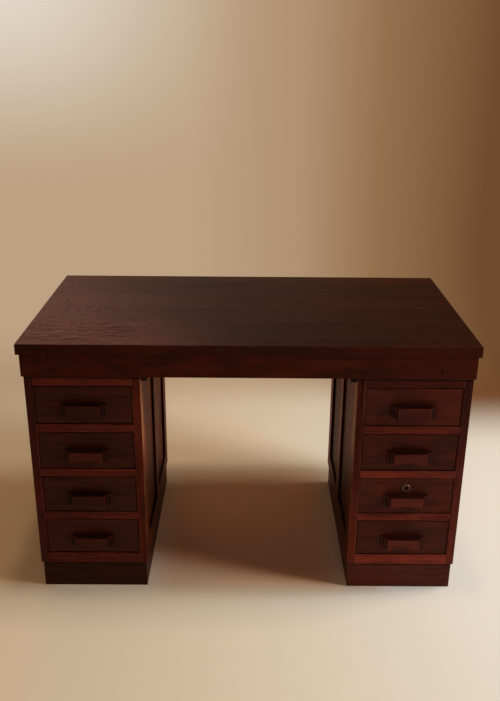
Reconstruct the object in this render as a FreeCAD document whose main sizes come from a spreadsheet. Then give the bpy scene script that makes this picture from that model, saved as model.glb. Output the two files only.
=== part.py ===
"""Twin-pedestal writing desk in stained wood, eight drawers, one of them with a lock.

Frame: X across the desk, Y from front to back, Z up. The origin is on the floor under the
middle of the whole desk, pulls included. All sizes are millimetres.
"""
import FreeCAD, Part
import math
import os
import re

import Sketcher

# Driving dimensions
SIZES = (
    ("desk_height", 775), ("top_width", 1250), ("top_depth", 675), ("top_thick", 30),
    ("arris_radius", 2.5),
    ("frieze_height", 64), ("frieze_thick", 20), ("frieze_side_inset", 9.5),
    ("frieze_front_inset", 2), ("frieze_back_reach", 4.5),
    ("pedestal_width", 315), ("pedestal_depth", 622), ("pedestal_side_inset", 15),
    ("pedestal_front_inset", 6.5),
    ("plinth_height", 83.5), ("plinth_thick", 20), ("plinth_inset", 4.5),
    ("stile_thick", 23), ("front_stile", 70), ("back_stile", 60), ("muntin_wide", 52),
    ("frame_rail_low", 52.5), ("frame_rail_high", 60),
    ("panel_thick", 6), ("panel_recess", 8), ("groove_deep", 8),
    ("back_panel_thick", 6), ("rabbet_wide", 12),
    ("opening_height", 116), ("divider_height", 24), ("bottom_rail_height", 34),
    ("rail_depth", 60), ("tenon_long", 12), ("tenon_back", 12), ("tenon_wide", 30),
    ("tenon_shoulder", 4),
    ("runner_wide", 25), ("runner_height", 24), ("top_board_thick", 12),
    ("stop_long", 40), ("stop_wide", 12), ("stop_height", 6), ("stop_inset", 40), ("stop_play", 0.3),
    ("drawer_recess", 1.5), ("drawer_gap", 1.5), ("drawer_length", 585),
    ("front_thick", 20), ("front_lap", 8), ("side_thick", 11), ("side_lift", 0.5),
    ("side_drop", 4), ("tail_wide", 24), ("tail_narrow", 20.5),
    ("base_thick", 5), ("base_lift", 12), ("slot_deep", 5),
    ("back_thick", 10), ("back_inset", 15), ("back_drop", 6),
    ("pull_half", 63), ("pull_step_in", 8.25), ("pull_step_out", 8), ("pull_height", 33),
    ("pull_above_centre", 5), ("pull_edge", 1.2), ("finger_radius", 8), ("finger_long", 62),
    ("arch_chord", 64), ("arch_rise", 6),
    ("plate_radius", 12), ("plate_thick", 2.2), ("plate_edge", 1), ("key_radius", 2.4),
    ("key_slot_wide", 2.6), ("key_slot_long", 8), ("key_below_edge", 30.5),
    ("case_wide", 56), ("case_height", 45), ("case_deep", 10),
    ("bolt_wide", 22), ("bolt_thick", 6), ("bolt_long", 28), ("bolt_play", 0.3),
    ("mortise_wide", 24), ("mortise_thick", 8), ("mortise_deep", 9),
    ("screw_radius", 2.25), ("screw_head", 4.5), ("screw_head_long", 2.5), ("screw_long", 50),
    ("screw_play", 0.15),
    ("block_wide", 17), ("block_long", 45), ("block_hang", 19),
)

LEVELS = 4
TAILS = 3
LOCKED_LEVEL = 1
SIDES = (("left", -1), ("right", 1))

doc = FreeCAD.newDocument("writing_desk")
sheet = doc.addObject("Spreadsheet::Sheet", "Sizes")
for row, (alias, size) in enumerate(SIZES, 1):
    sheet.set(f"A{row}", alias)
    sheet.set(f"B{row}", str(size))
    sheet.setAlias(f"B{row}", alias)
doc.recompute()

ALIAS = re.compile(r"\b(" + "|".join(alias for alias, size in SIZES) + r")\b")

# Heights and depths that several pieces share, as formulas of the driving dimensions
PULL_OVERHANG = "(3 * pull_step_out - pedestal_front_inset - drawer_recess)"
TOP_FRONT = f"(-(top_depth - {PULL_OVERHANG}) / 2)"
TOP_UNDERSIDE = "(desk_height - top_thick)"
FRIEZE_FRONT = f"({TOP_FRONT} + frieze_front_inset)"
FRIEZE_BACK = f"({TOP_FRONT} + pedestal_front_inset + pedestal_depth + frieze_back_reach)"
FRIEZE_SIDE = "(top_width / 2 - frieze_side_inset)"
BODY_TOP = f"({TOP_UNDERSIDE} - frieze_height)"
BODY_FRONT = f"({TOP_FRONT} + pedestal_front_inset)"
BODY_BACK = f"({BODY_FRONT} + pedestal_depth)"
OUTER = "(top_width / 2 - pedestal_side_inset)"
INNER = f"({OUTER} - pedestal_width)"
BAY_NEAR = f"({INNER} + stile_thick)"
BAY_FAR = f"({OUTER} - stile_thick)"
BAY_MIDDLE = f"({INNER} + pedestal_width / 2)"
BACK_PANEL_FRONT = f"({BODY_BACK} - back_panel_thick)"
FACE = f"({BODY_FRONT} + drawer_recess)"
TOP_BAY_CEILING = (f"(plinth_height + bottom_rail_height + {LEVELS} * opening_height"
                   f" + {LEVELS - 1} * divider_height)")


def bay_floor(level):
    """Height of the runners' top face under the drawer of a level, 0 at the bottom."""
    return f"(plinth_height + bottom_rail_height + {level} * (opening_height + divider_height))"


def mirrored(sign, near, far):
    """Span along X between two distances from the middle, on the side given by sign."""
    return (near, far) if sign > 0 else (f"-({far})", f"-({near})")


def bind(thing, **formulas):
    """Ties properties of an object to the sheet: X, Y and Z stand for its placement."""
    places = {"X": "Placement.Base.x", "Y": "Placement.Base.y", "Z": "Placement.Base.z"}
    for name, formula in formulas.items():
        thing.setExpression(places.get(name, name), ALIAS.sub(r"Sizes.\1", formula))
    return thing


def board(name, across, along, height):
    """Plain board between two limits along X, along Y and along Z."""
    spans = dict(zip(("Length", "Width", "Height"), (across, along, height)))
    sizes = {side: f"({high}) - ({low})" for side, (low, high) in spans.items()}
    return bind(doc.addObject("Part::Box", name), X=across[0], Y=along[0], Z=height[0], **sizes)


def mitred(name, length, faces, height, long_face, turned=False):
    """Board mitred at both ends. Its length runs along X, or along Y when it is turned."""
    if turned:
        length = (f"-({length[1]})", f"-({length[0]})")
    thick = f"(({faces[1]}) - ({faces[0]}))"
    short = (f"{length[0]} + {thick}", f"{length[1]} - {thick}")
    low, high = (length, short) if long_face == "low" else (short, length)
    piece = doc.addObject("Part::Wedge", name)
    if turned:
        piece.Placement = FreeCAD.Placement(FreeCAD.Vector(), FreeCAD.Rotation(FreeCAD.Vector(0, 0, 1), -90))
    return bind(piece, Xmin=low[0], Xmax=low[1], X2min=high[0], X2max=high[1],
                Ymin=faces[0], Ymax=faces[1],
                Zmin=height[0], Z2min=height[0], Zmax=height[1], Z2max=height[1])


def round_bar(name, radius, length, start, direction):
    """Cylinder from a start point (three formulas) along X, Y or Z."""
    turns = {"X": FreeCAD.Rotation(FreeCAD.Vector(0, 1, 0), 90),
             "Y": FreeCAD.Rotation(FreeCAD.Vector(1, 0, 0), -90),
             "Z": FreeCAD.Rotation()}
    bar = doc.addObject("Part::Cylinder", name)
    bar.Placement = FreeCAD.Placement(FreeCAD.Vector(), turns[direction])
    return bind(bar, Radius=radius, Height=length, X=start[0], Y=start[1], Z=start[2])


def together(name, pieces):
    """Group of separate solids."""
    group = doc.addObject("Part::Compound", name)
    group.Links = list(pieces)
    return group


def joined(name, *pieces):
    """Pieces fused into one solid."""
    whole = doc.addObject("Part::MultiFuse", name)
    whole.Shapes = list(pieces)
    whole.Refine = True
    return whole


def carved(name, base, *tools):
    """Base with the tools cut out of it."""
    cut = doc.addObject("Part::Cut", name)
    cut.Base = base
    cut.Tool = tools[0] if len(tools) == 1 else together(f"{name}_tools", tools)
    return cut


def plane_of(body, role):
    """One of a body's own origin planes."""
    return next(item for item in body.Origin.OriginFeatures if item.Role == role)


def outline(body, name, role, corners):
    """Closed sketch through corners, each held by its two distances from the origin."""
    sketch = body.newObject("Sketcher::SketchObject", name)
    sketch.AttachmentSupport = [(plane_of(body, role), "")]
    sketch.MapMode = "FlatFace"
    turn = 2 * math.pi / len(corners)
    ring = [FreeCAD.Vector(math.cos(i * turn), math.sin(i * turn), 0) for i in range(len(corners))]
    for i, point in enumerate(ring):
        sketch.addGeometry(Part.LineSegment(point, ring[(i + 1) % len(ring)]), False)
    for i in range(len(ring)):
        sketch.addConstraint(Sketcher.Constraint("Coincident", i, 2, (i + 1) % len(ring), 1))
    for i, corner in enumerate(corners):
        for kind, axis, formula in zip(("DistanceX", "DistanceY"), (-2, -1), corner):
            if formula == "0":
                sketch.addConstraint(Sketcher.Constraint("PointOnObject", i, 1, axis))
            else:
                number = sketch.addConstraint(Sketcher.Constraint(kind, -1, 1, i, 1, 1.0))
                bind(sketch, **{f"Constraints[{number}]": formula})
    return sketch


def padded(body, name, sketch, length):
    """Pad of a sketch by a length."""
    pad = body.newObject("PartDesign::Pad", name)
    pad.Profile = sketch
    bind(pad, Length=length)
    doc.recompute()
    return pad


def eased(body, name, kind, base, width, chosen):
    """Fillet or Chamfer on the edges of a feature that a test on their end points chooses."""
    names = [f"Edge{i}" for i, edge in enumerate(base.Shape.Edges, 1)
             if chosen([vertex.Point for vertex in edge.Vertexes])]
    easing = body.newObject(f"PartDesign::{kind}", name)
    easing.Base = (base, names)
    bind(easing, **{"Radius" if kind == "Fillet" else "Size": width})
    doc.recompute()
    return easing


nodes = {}


def node(label, *pieces):
    """Names a finished sub-part: one solid, or a group of separate ones."""
    finished = pieces[0] if len(pieces) == 1 else together(label, pieces)
    finished.Label = label
    nodes[label] = finished


# Top unit: a slab on a mitred frieze, borne over the pedestals and located by blocks
def make_top():
    body = doc.addObject("PartDesign::Body", "desk_top")
    half, front, back = "top_width / 2", TOP_FRONT, f"{TOP_FRONT} + top_depth"
    sketch = outline(body, "slab_outline", "XY_Plane",
                     [(f"-{half}", front), (half, front), (half, back), (f"-{half}", back)])
    slab = padded(body, "slab", sketch, "top_thick")
    eased(body, "slab_arris", "Fillet", slab, "arris_radius", lambda ends: max(end.z for end in ends) > 0.1)
    bind(body, Z=TOP_UNDERSIDE)
    node("desk_top", body)


def make_frieze():
    height = (BODY_TOP, TOP_UNDERSIDE)
    width = (f"-{FRIEZE_SIDE}", FRIEZE_SIDE)
    node("front_frieze", mitred("front_board", width, (FRIEZE_FRONT, f"{FRIEZE_FRONT} + frieze_thick"),
                                height, "low"))
    node("rear_frieze", mitred("rear_board", width, (f"{FRIEZE_BACK} - frieze_thick", FRIEZE_BACK),
                               height, "high"))
    sides = [mitred(f"{side}_end_board", (FRIEZE_FRONT, FRIEZE_BACK),
                    mirrored(sign, f"{FRIEZE_SIDE} - frieze_thick", FRIEZE_SIDE), height,
                    "high" if sign > 0 else "low", turned=True) for side, sign in SIDES]
    node("side_friezes", *sides)


def screw_places():
    """Middle of each fixing screw: one halfway along each of a pedestal's two bearers."""
    for side, sign in SIDES:
        for at in (f"{BAY_NEAR} + runner_wide / 2", f"{BAY_FAR} - runner_wide / 2"):
            yield f"{side}_screw", at if sign > 0 else f"-({at})", f"(({BODY_FRONT} + {BODY_BACK}) / 2)"


def screw(name, across, along, play):
    """Countersunk screw driven upwards from the underside of a kicker."""
    shank = round_bar(f"{name}_shank", f"screw_radius + {play}", "screw_long",
                      (across, along, TOP_BAY_CEILING), "Z")
    head = bind(doc.addObject("Part::Cone", f"{name}_head"), Radius1=f"screw_head + {play}",
                Radius2=f"screw_radius + {play}", Height="screw_head_long",
                X=across, Y=along, Z=TOP_BAY_CEILING)
    return joined(name, shank, head)


def screw_holes(name, side):
    """Clearance holes of one pedestal's fixing screws."""
    return [screw(f"{name}_hole", across, along, "screw_play")
            for owner, across, along in screw_places() if owner == f"{side}_screw"]


def make_bearers():
    inside = (f"{FRIEZE_FRONT} + frieze_thick", f"{FRIEZE_BACK} - frieze_thick")
    bearers = []
    for side, sign in SIDES:
        for place, near in (("inner", BAY_NEAR), ("outer", f"{BAY_FAR} - runner_wide")):
            plain = board(f"{side}_{place}_bearer_board", mirrored(sign, near, f"{near} + runner_wide"),
                          inside, (BODY_TOP, TOP_UNDERSIDE))
            bearers.append(carved(f"{side}_{place}_bearer", plain, *screw_holes("bearer", side)))
    node("cross_bearers", *bearers)
    node("fixing_screws", *[screw(name, across, along, "0") for name, across, along in screw_places()])
    blocks = [board(f"{side}_block", mirrored(sign, f"{INNER} - block_wide", INNER), along,
                    (f"{BODY_TOP} - block_hang", TOP_UNDERSIDE))
              for side, sign in SIDES
              for along in ((inside[0], f"{inside[0]} + block_long"),
                            (f"{inside[1]} - block_long", inside[1]))]
    node("locating_blocks", *blocks)


# Pedestals: two framed and panelled sides joined by front rails, on a mitred plinth
def make_side_frame(side, sign, place):
    """Frame of two stiles, two rails and a muntin, with its two panels."""
    visible, hidden = (OUTER, BAY_FAR) if place == "outer" else (INNER, BAY_NEAR)
    inward = "-" if place == "outer" else "+"
    first = f"{visible} {inward} panel_recess"
    second = f"{first} {inward} panel_thick"
    near, far = (hidden, visible) if place == "outer" else (visible, hidden)
    board_span = mirrored(sign, near, far)
    tongue = mirrored(sign, second, first) if place == "outer" else mirrored(sign, first, second)
    full = ("plinth_height", BODY_TOP)
    front_edge, back_edge = f"{BODY_FRONT} + front_stile", f"{BODY_BACK} - back_stile"
    field = ("plinth_height + frame_rail_low", f"{BODY_TOP} - frame_rail_high")
    middle = f"(({front_edge}) + ({back_edge})) / 2"
    muntin = (f"{middle} - muntin_wide / 2", f"{middle} + muntin_wide / 2")
    reach = (f"{front_edge} - groove_deep", f"{back_edge} + groove_deep")
    tag = f"{side}_{place}"

    front_stile = carved(
        f"{tag}_front_stile", board(f"{tag}_front_post", board_span, (BODY_FRONT, front_edge), full),
        board(f"{tag}_front_groove", tongue, (reach[0], front_edge), full),
        *[rail_tenon(f"{tag}_mortise", sign, level) for level in range(LEVELS + 1)])
    back_stile = carved(
        f"{tag}_back_stile", board(f"{tag}_back_post", board_span, (back_edge, BODY_BACK), full),
        board(f"{tag}_back_groove", tongue, (back_edge, reach[1]), full),
        back_panel_blank(f"{tag}_rabbet", sign))
    rails = []
    for name, height, groove in (
            ("low_rail", (full[0], field[0]), (f"{field[0]} - groove_deep", field[0])),
            ("high_rail", (field[1], full[1]), (field[1], f"{field[1]} + groove_deep"))):
        blank = joined(f"{tag}_{name}_blank",
                       board(f"{tag}_{name}_board", board_span, (front_edge, back_edge), height),
                       board(f"{tag}_{name}_tongue", tongue, reach, height))
        rails.append(carved(f"{tag}_{name}", blank, board(f"{tag}_{name}_groove", tongue, reach, groove)))
    panel_height = (f"{field[0]} - groove_deep", f"{field[1]} + groove_deep")
    panel_spans = ((reach[0], f"{muntin[0]} + groove_deep"), (f"{muntin[1]} - groove_deep", reach[1]))
    post = joined(f"{tag}_muntin_blank", board(f"{tag}_muntin_board", board_span, muntin, field),
                  board(f"{tag}_muntin_tongue", tongue, muntin, panel_height))
    muntin_post = carved(f"{tag}_muntin", post, *[board(f"{tag}_muntin_groove", tongue, span, panel_height)
                                                  for span in panel_spans])
    node(f"{tag}_frame", front_stile, back_stile, *rails, muntin_post)
    node(f"{tag}_panels", *[board(f"{tag}_panel", tongue, span, panel_height) for span in panel_spans])


def back_panel_blank(name, sign):
    """Space of a pedestal's back panel, which laps into a rabbet of each back stile."""
    return board(name, mirrored(sign, f"{BAY_NEAR} - rabbet_wide", f"{BAY_FAR} + rabbet_wide"),
                 (BACK_PANEL_FRONT, BODY_BACK), ("plinth_height", BODY_TOP))


def rail_height(level):
    """Span along Z of a front rail: the bottom one, the dividers and the top one."""
    if level == 0:
        return ("plinth_height", bay_floor(0))
    if level == LEVELS:
        return (TOP_BAY_CEILING, BODY_TOP)
    return (f"{bay_floor(level)} - divider_height", bay_floor(level))


def rail_tenon(name, sign, level):
    """Tenon of a front rail, through the rail and into both front stiles."""
    low, high = rail_height(level)
    start = f"{BODY_FRONT} + tenon_back"
    return board(name, mirrored(sign, f"{BAY_NEAR} - tenon_long", f"{BAY_FAR} + tenon_long"),
                 (start, f"{start} + tenon_wide"), (f"{low} + tenon_shoulder", f"{high} - tenon_shoulder"))


def make_front_rails(side, sign):
    rails = []
    for level in range(LEVELS + 1):
        plain = board(f"{side}_rail_board", mirrored(sign, BAY_NEAR, BAY_FAR),
                      (BODY_FRONT, f"{BODY_FRONT} + rail_depth"), rail_height(level))
        rail = joined(f"{side}_rail", plain, rail_tenon(f"{side}_tenon", sign, level))
        if sign > 0 and level == LOCKED_LEVEL + 1:
            rail = carved(f"{side}_lock_rail", rail, bolt_mortise())
        rails.append(rail)
    node(f"{side}_front_rails", *rails)


def make_runners(side, sign):
    """Runners under every drawer, and kickers above the top one, on both sides of the bay."""
    along = (f"{BODY_FRONT} + rail_depth", BACK_PANEL_FRONT)
    spans = [mirrored(sign, BAY_NEAR, f"{BAY_NEAR} + runner_wide"),
             mirrored(sign, f"{BAY_FAR} - runner_wide", BAY_FAR)]
    runners = [board(f"{side}_runner", span, along,
                     (f"{bay_floor(level)} - runner_height", bay_floor(level)))
               for level in range(LEVELS) for span in spans]
    kicker_height = (TOP_BAY_CEILING, f"{BODY_TOP} - top_board_thick")
    kickers = [carved(f"{side}_kicker", board(f"{side}_kicker_board", span, along, kicker_height),
                      *screw_holes("kicker", side)) for span in spans]
    node(f"{side}_drawer_runners", *runners, *kickers)


def make_top_boards():
    boards = []
    for side, sign in SIDES:
        plain = board(f"{side}_top_board_blank", mirrored(sign, BAY_NEAR, BAY_FAR),
                      (f"{BODY_FRONT} + rail_depth", BACK_PANEL_FRONT),
                      (f"{BODY_TOP} - top_board_thick", BODY_TOP))
        boards.append(carved(f"{side}_top_board", plain, *screw_holes("top_board", side)))
    node("pedestal_top_boards", *boards)


def make_plinth(side, sign):
    across = mirrored(sign, f"{INNER} + plinth_inset", f"{OUTER} - plinth_inset")
    along = (f"{BODY_FRONT} + plinth_inset", f"{BODY_BACK} - plinth_inset")
    height = ("0", "plinth_height")
    node(f"{side}_plinth",
         mitred(f"{side}_plinth_front", across, (along[0], f"{along[0]} + plinth_thick"), height, "low"),
         mitred(f"{side}_plinth_back", across, (f"{along[1]} - plinth_thick", along[1]), height, "high"),
         mitred(f"{side}_plinth_low", along, (across[0], f"{across[0]} + plinth_thick"), height, "low",
                turned=True),
         mitred(f"{side}_plinth_high", along, (f"{across[1]} - plinth_thick", across[1]), height, "high",
                turned=True))


def make_stops():
    """Blocks on the front rails that each drawer front comes to rest against."""
    start = f"{FACE} + front_thick + stop_play"
    stops = [board(f"{side}_stop", mirrored(sign, near, f"{near} + stop_long"),
                   (start, f"{start} + stop_wide"), (bay_floor(level), f"{bay_floor(level)} + stop_height"))
             for side, sign in SIDES for level in range(LEVELS)
             for near in (f"{BAY_NEAR} + stop_inset", f"{BAY_FAR} - stop_inset - stop_long")]
    node("drawer_stops", *stops)


# Drawers: a front lap-dovetailed to two sides, with a housed back and a grooved-in bottom
def drawer_places(sign, level):
    """Spans that the pieces of one drawer share, by name."""
    floor = bay_floor(level)
    near, far = f"({BAY_NEAR} + drawer_gap)", f"({BAY_FAR} - drawer_gap)"
    side_low = f"({floor} + side_lift)"
    side_high = f"({floor} + opening_height - side_drop)"
    base_low = f"({side_low} + base_lift)"
    back_end = f"({FACE} + drawer_length - back_inset)"
    return {
        "front_across": mirrored(sign, near, far),
        "front_height": (f"{floor} + drawer_gap", f"{floor} + opening_height - drawer_gap"),
        "sides": [mirrored(sign, near, f"{near} + side_thick"), mirrored(sign, f"{far} - side_thick", far)],
        "side_height": (side_low, side_high),
        "slotted": mirrored(sign, f"{near} + side_thick - slot_deep", f"{far} - side_thick + slot_deep"),
        "base_height": (base_low, f"{base_low} + base_thick"),
        "base_along": (f"{FACE} + front_thick - slot_deep", back_end),
        "back_along": (f"{back_end} - back_thick", back_end),
        "back_height": (f"{base_low} + base_thick", f"{side_high} - back_drop"),
        "tail_pitch": f"(({side_high} - {side_low}) / {TAILS})",
    }


def tails(name, places, across):
    """Dovetails on a drawer side's front end, widening towards their tips."""
    low = places["side_height"][0]
    made = []
    for i in range(TAILS):
        middle = f"({low} + {i + 0.5} * {places['tail_pitch']})"
        made.append(bind(doc.addObject("Part::Wedge", name), Xmin=across[0], X2min=across[0],
                         Xmax=across[1], X2max=across[1],
                         Ymin=f"{FACE} + front_lap", Ymax=f"{FACE} + front_thick",
                         Zmin=f"{middle} - tail_wide / 2", Zmax=f"{middle} + tail_wide / 2",
                         Z2min=f"{middle} - tail_narrow / 2", Z2max=f"{middle} + tail_narrow / 2"))
    return made


def make_drawer(side, sign, level):
    """One drawer, named by its place from the top: its front, box, bottom and pull."""
    tag = f"{side}_drawer_{LEVELS - level}"
    places = drawer_places(sign, level)
    base = board(f"{tag}_bottom_board", places["slotted"], places["base_along"], places["base_height"])
    back = board(f"{tag}_back", places["slotted"], places["back_along"], places["back_height"])

    sockets = [tail for across in places["sides"] for tail in tails(f"{tag}_socket", places, across)]
    plain = board(f"{tag}_front_board", places["front_across"], (FACE, f"{FACE} + front_thick"),
                  places["front_height"])
    extra = lock_recess() if (sign > 0 and level == LOCKED_LEVEL) else []
    node(f"{tag}_front", carved(f"{tag}_front_cut", plain, base, *sockets, *extra))

    end = f"{FACE} + drawer_length"
    sides = []
    for across in places["sides"]:
        blank = joined(f"{tag}_side_blank",
                       board(f"{tag}_side_board", across, (f"{FACE} + front_thick", end),
                             places["side_height"]),
                       *tails(f"{tag}_tail", places, across))
        groove = board(f"{tag}_groove", places["slotted"], (places["base_along"][0], end),
                       places["base_height"])
        sides.append(carved(f"{tag}_side", blank, groove, back))
    node(f"{tag}_box", *sides, back)
    node(f"{tag}_bottom", base)
    node(f"{tag}_pull", make_pull(tag, sign, level))


def make_pull(tag, sign, level):
    """Wooden pull with ends stepped in three tiers, a hollow for the fingers underneath
    and an arched lower front edge."""
    body = doc.addObject("PartDesign::Body", f"{tag}_pull_body")
    left = []
    for tier in range(3):
        reach = f"-(pull_half - {tier} * pull_step_in)"
        left += [(reach, f"-{tier} * pull_step_out" if tier else "0"),
                 (reach, f"-{tier + 1} * pull_step_out")]
    right = [(across.replace("-(", "(", 1), along) for across, along in reversed(left)]
    block = padded(body, f"{tag}_pull_block", outline(body, f"{tag}_pull_plan", "XY_Plane", left + right),
                   "pull_height")
    soft = eased(body, f"{tag}_pull_corners", "Chamfer", block, "pull_edge", stands_proud)
    eased(body, f"{tag}_pull_rims", "Chamfer", soft, "pull_edge", runs_round_the_top)
    centre = BAY_MIDDLE if sign > 0 else f"-{BAY_MIDDLE}"
    low = f"({bay_floor(level)} + opening_height / 2 + pull_above_centre - pull_height)"
    bind(body, X=centre, Y=FACE, Z=low)
    finger = round_bar(f"{tag}_finger", "finger_radius", "finger_long",
                       (f"{centre} - finger_long / 2", f"{FACE} - 1.5 * pull_step_out", low), "X")
    radius = "((arch_chord / 2) ^ 2 + arch_rise ^ 2) / (2 * arch_rise)"
    arch = round_bar(f"{tag}_arch", radius, "2 * pull_step_out",
                     (centre, f"{FACE} - 3.5 * pull_step_out", f"{low} + arch_rise - {radius}"), "Y")
    return carved(f"{tag}_pull_cut", body, finger, arch)


def stands_proud(ends):
    """An upright edge at the front of one of the pull's tiers."""
    first, last = ends[0], ends[-1]
    upright = abs(first.x - last.x) < 0.01 and abs(first.y - last.y) < 0.01
    step_in, step_out, half = (sheet.get(alias) for alias in ("pull_step_in", "pull_step_out", "pull_half"))
    tier = round(-first.y / step_out) - 1
    return upright and tier >= 0 and abs(abs(first.x) - (half - tier * step_in)) < 0.01


def runs_round_the_top(ends):
    """An edge of the pull's top face, apart from the one against the drawer."""
    level = abs(ends[0].z - ends[-1].z) < 0.01 and min(end.z for end in ends) > 0.01
    return level and min(end.y for end in ends) < -0.01


# Lock of one drawer: a case let into the back of the front, a bolt that rises, a key plate
def lock_place():
    """Middle of the lock across the desk, and the top edge of its drawer front."""
    return BAY_MIDDLE, f"({bay_floor(LOCKED_LEVEL)} + opening_height - drawer_gap)"


def case_space(name):
    middle, edge = lock_place()
    return board(name, (f"{middle} - case_wide / 2", f"{middle} + case_wide / 2"),
                 (f"{FACE} + front_thick - case_deep", f"{FACE} + front_thick"),
                 (f"{edge} - case_height", edge))


def keyhole(name):
    """Round hole with a slot below it, from the key plate to the bolt."""
    middle, edge = lock_place()
    height = f"({edge} - key_below_edge)"
    start = f"({FACE} - 2 * plate_thick)"
    depth = "(2 * plate_thick + front_thick - case_deep + bolt_thick / 3)"
    hole = round_bar(f"{name}_hole", "key_radius", depth, (middle, start, height), "Y")
    slot = board(f"{name}_slot", (f"{middle} - key_slot_wide / 2", f"{middle} + key_slot_wide / 2"),
                 (start, f"{start} + {depth}"), (f"{height} - key_slot_long", height))
    return joined(name, hole, slot)


def lock_recess():
    return [case_space("case_recess"), keyhole("front_keyhole")]


def bolt_block(name, play):
    """The bolt at rest, or its channel in the case when play is given."""
    middle, edge = lock_place()
    centre = f"({FACE} + front_thick - case_deep / 2)"
    return board(name, (f"{middle} - bolt_wide / 2 - {play}", f"{middle} + bolt_wide / 2 + {play}"),
                 (f"{centre} - bolt_thick / 2 - {play}", f"{centre} + bolt_thick / 2 + {play}"),
                 (f"{edge} - bolt_long - {play}", edge))


def bolt_mortise():
    """Mortise in the underside of the rail above the lock, which takes the raised bolt."""
    middle, edge = lock_place()
    centre = f"({FACE} + front_thick - case_deep / 2)"
    floor = f"({edge} + drawer_gap)"
    return board("bolt_mortise", (f"{middle} - mortise_wide / 2", f"{middle} + mortise_wide / 2"),
                 (f"{centre} - mortise_thick / 2", f"{centre} + mortise_thick / 2"),
                 (floor, f"{floor} + mortise_deep"))


def make_lock():
    middle, edge = lock_place()
    body = doc.addObject("PartDesign::Body", "key_plate_body")
    sketch = body.newObject("Sketcher::SketchObject", "key_plate_outline")
    sketch.AttachmentSupport = [(plane_of(body, "XZ_Plane"), "")]
    sketch.MapMode = "FlatFace"
    sketch.addGeometry(Part.Circle(FreeCAD.Vector(), FreeCAD.Vector(0, 0, 1), 10), False)
    sketch.addConstraint(Sketcher.Constraint("Coincident", 0, 3, -1, 1))
    number = sketch.addConstraint(Sketcher.Constraint("Radius", 0, 10))
    bind(sketch, **{f"Constraints[{number}]": "plate_radius"})
    disc = padded(body, "key_plate_disc", sketch, "plate_thick")
    eased(body, "key_plate_rim", "Chamfer", disc, "plate_edge",
          lambda ends: max(end.y for end in ends) < -0.1)
    bind(body, X=middle, Y=FACE, Z=f"{edge} - key_below_edge")
    node("lock_escutcheon", carved("key_plate", body, keyhole("plate_keyhole")))
    node("lock_case", carved("case_box", case_space("case_blank"), bolt_block("bolt_channel", "bolt_play"),
                             keyhole("case_keyhole")))
    node("lock_bolt", bolt_block("bolt", "0"))


make_top()
make_frieze()
make_bearers()
make_top_boards()
make_stops()
for side, sign in SIDES:
    make_side_frame(side, sign, "outer")
    make_side_frame(side, sign, "inner")
    node(f"{side}_back_panel", back_panel_blank(f"{side}_back_board", sign))
    make_front_rails(side, sign)
    make_runners(side, sign)
    make_plinth(side, sign)
    for level in reversed(range(LEVELS)):
        make_drawer(side, sign, level)
make_lock()
doc.recompute()

failed = [thing.Name for thing in doc.Objects if "Invalid" in thing.State or "Error" in thing.State]
if failed:
    raise RuntimeError(f"objects that did not compute: {failed}")
for label, finished in nodes.items():
    shape = finished.Shape
    if shape.isNull() or not shape.isValid() or not shape.Solids:
        raise RuntimeError(f"{label} has no valid solid")

os.makedirs("parts", exist_ok=True)
for label, finished in nodes.items():
    finished.Shape.exportStep(f"parts/{label}.step")
print(f"{len(nodes)} nodes, {sum(len(finished.Shape.Solids) for finished in nodes.values())} solids")
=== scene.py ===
"""Looks of a twin-pedestal writing desk: its stained and bare woods, its metal and a plain studio.

All places are metres in the desk's own frame: X across, Y from front to back, Z up, and the origin on
the floor under the middle of the desk.
"""

import logging
import math
from collections.abc import Callable
from dataclasses import dataclass, replace
from enum import Enum
from functools import cache

import bmesh
import bpy
import numpy as np
from mathutils import Matrix, Vector

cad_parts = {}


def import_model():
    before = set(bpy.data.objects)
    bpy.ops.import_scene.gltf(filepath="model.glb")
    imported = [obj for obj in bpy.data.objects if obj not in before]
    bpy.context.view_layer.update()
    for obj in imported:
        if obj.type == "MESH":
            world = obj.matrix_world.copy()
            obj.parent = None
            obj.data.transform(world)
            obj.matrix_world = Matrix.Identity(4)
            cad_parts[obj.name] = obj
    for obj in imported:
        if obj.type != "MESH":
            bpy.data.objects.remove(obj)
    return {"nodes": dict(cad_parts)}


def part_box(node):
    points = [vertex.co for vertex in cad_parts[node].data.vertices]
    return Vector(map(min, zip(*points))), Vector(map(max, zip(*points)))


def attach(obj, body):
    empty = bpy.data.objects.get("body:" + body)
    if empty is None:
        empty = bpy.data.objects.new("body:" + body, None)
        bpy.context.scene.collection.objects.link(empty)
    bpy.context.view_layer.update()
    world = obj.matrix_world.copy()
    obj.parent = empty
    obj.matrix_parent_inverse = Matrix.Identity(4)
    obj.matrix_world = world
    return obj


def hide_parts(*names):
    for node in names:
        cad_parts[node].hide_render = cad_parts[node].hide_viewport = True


SEED = 31
SIDES = ("left", "right")
DRAWERS = (1, 2, 3, 4)
LOCKED_DRAWER = "right_drawer_3"

# Places on the desk that the finishes follow.
PULL_ACROSS = 0.4525
PULL_MIDDLE = 0.0465
LOWEST_BAY = 0.1175
BAY_PITCH = 0.14
BODY_FRONT = -0.323

# How light the boards of each side are, 0 to 1 for most, from the top down.
EVEN_TONE = 0.5
# The rail tones also paint light: the right rails lighter lower down, and the top right rail dark as painted
# shade under the frieze.
RAIL_LIGHT_TONES = {"left": (0.42, 0.36, 0.32, 0.28, 0.28), "right": (0.02, 0.40, 0.72, 0.58, 0.82)}
PLINTH_TONES = {"left": 0.18, "right": 0.74}
FRONT_TONES = {"left": (0.30, 0.25, 0.22, 0.35), "right": (0.50, 0.44, 0.66, 0.58)}
PULL_TONES = {"left": (-0.10, 0.15, -0.06, 0.09), "right": (0.12, 0.32, 0.53, 0.55)}

# A spot is a place on the desk and its radius.
Colour = tuple[float, float, float]
Place = tuple[float, float, float]
Spot = tuple[float, float, float, float]
log = logging.getLogger("writing_desk")


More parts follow.
